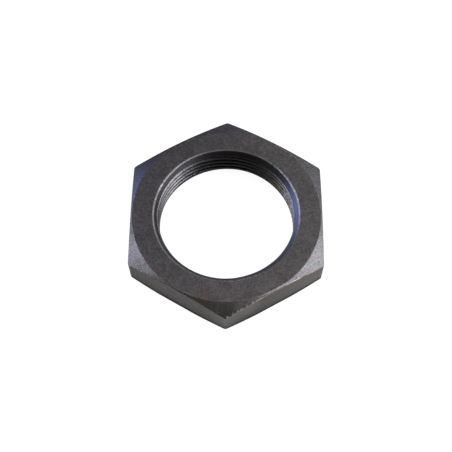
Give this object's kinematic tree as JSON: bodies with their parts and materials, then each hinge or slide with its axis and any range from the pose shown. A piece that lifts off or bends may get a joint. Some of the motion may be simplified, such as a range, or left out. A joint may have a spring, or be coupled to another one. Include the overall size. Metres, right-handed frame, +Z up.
{
  "type": "clutch nut",
  "caption": "Thin hexagonal clutch nut in blackened steel with a large fine-threaded bore, countersunk mouths and turned corner chamfers.",
  "frame": {"origin": "middle of the lower face, on the bore's axis", "axes": "+Z up the bore from the face the nut rests on; two flats face +X and -X, and two corners lie on the Y axis"},
  "size_m": [0.0382, 0.0438, 0.0079],
  "materials": {
    "blackened_steel": "blackened by oiling and oxide, satin, with brighter bare metal on worn chamfers"
  },
  "bodies": {
    "root": {"clutch_nut": "blackened_steel"}
  },
  "joints": []
}
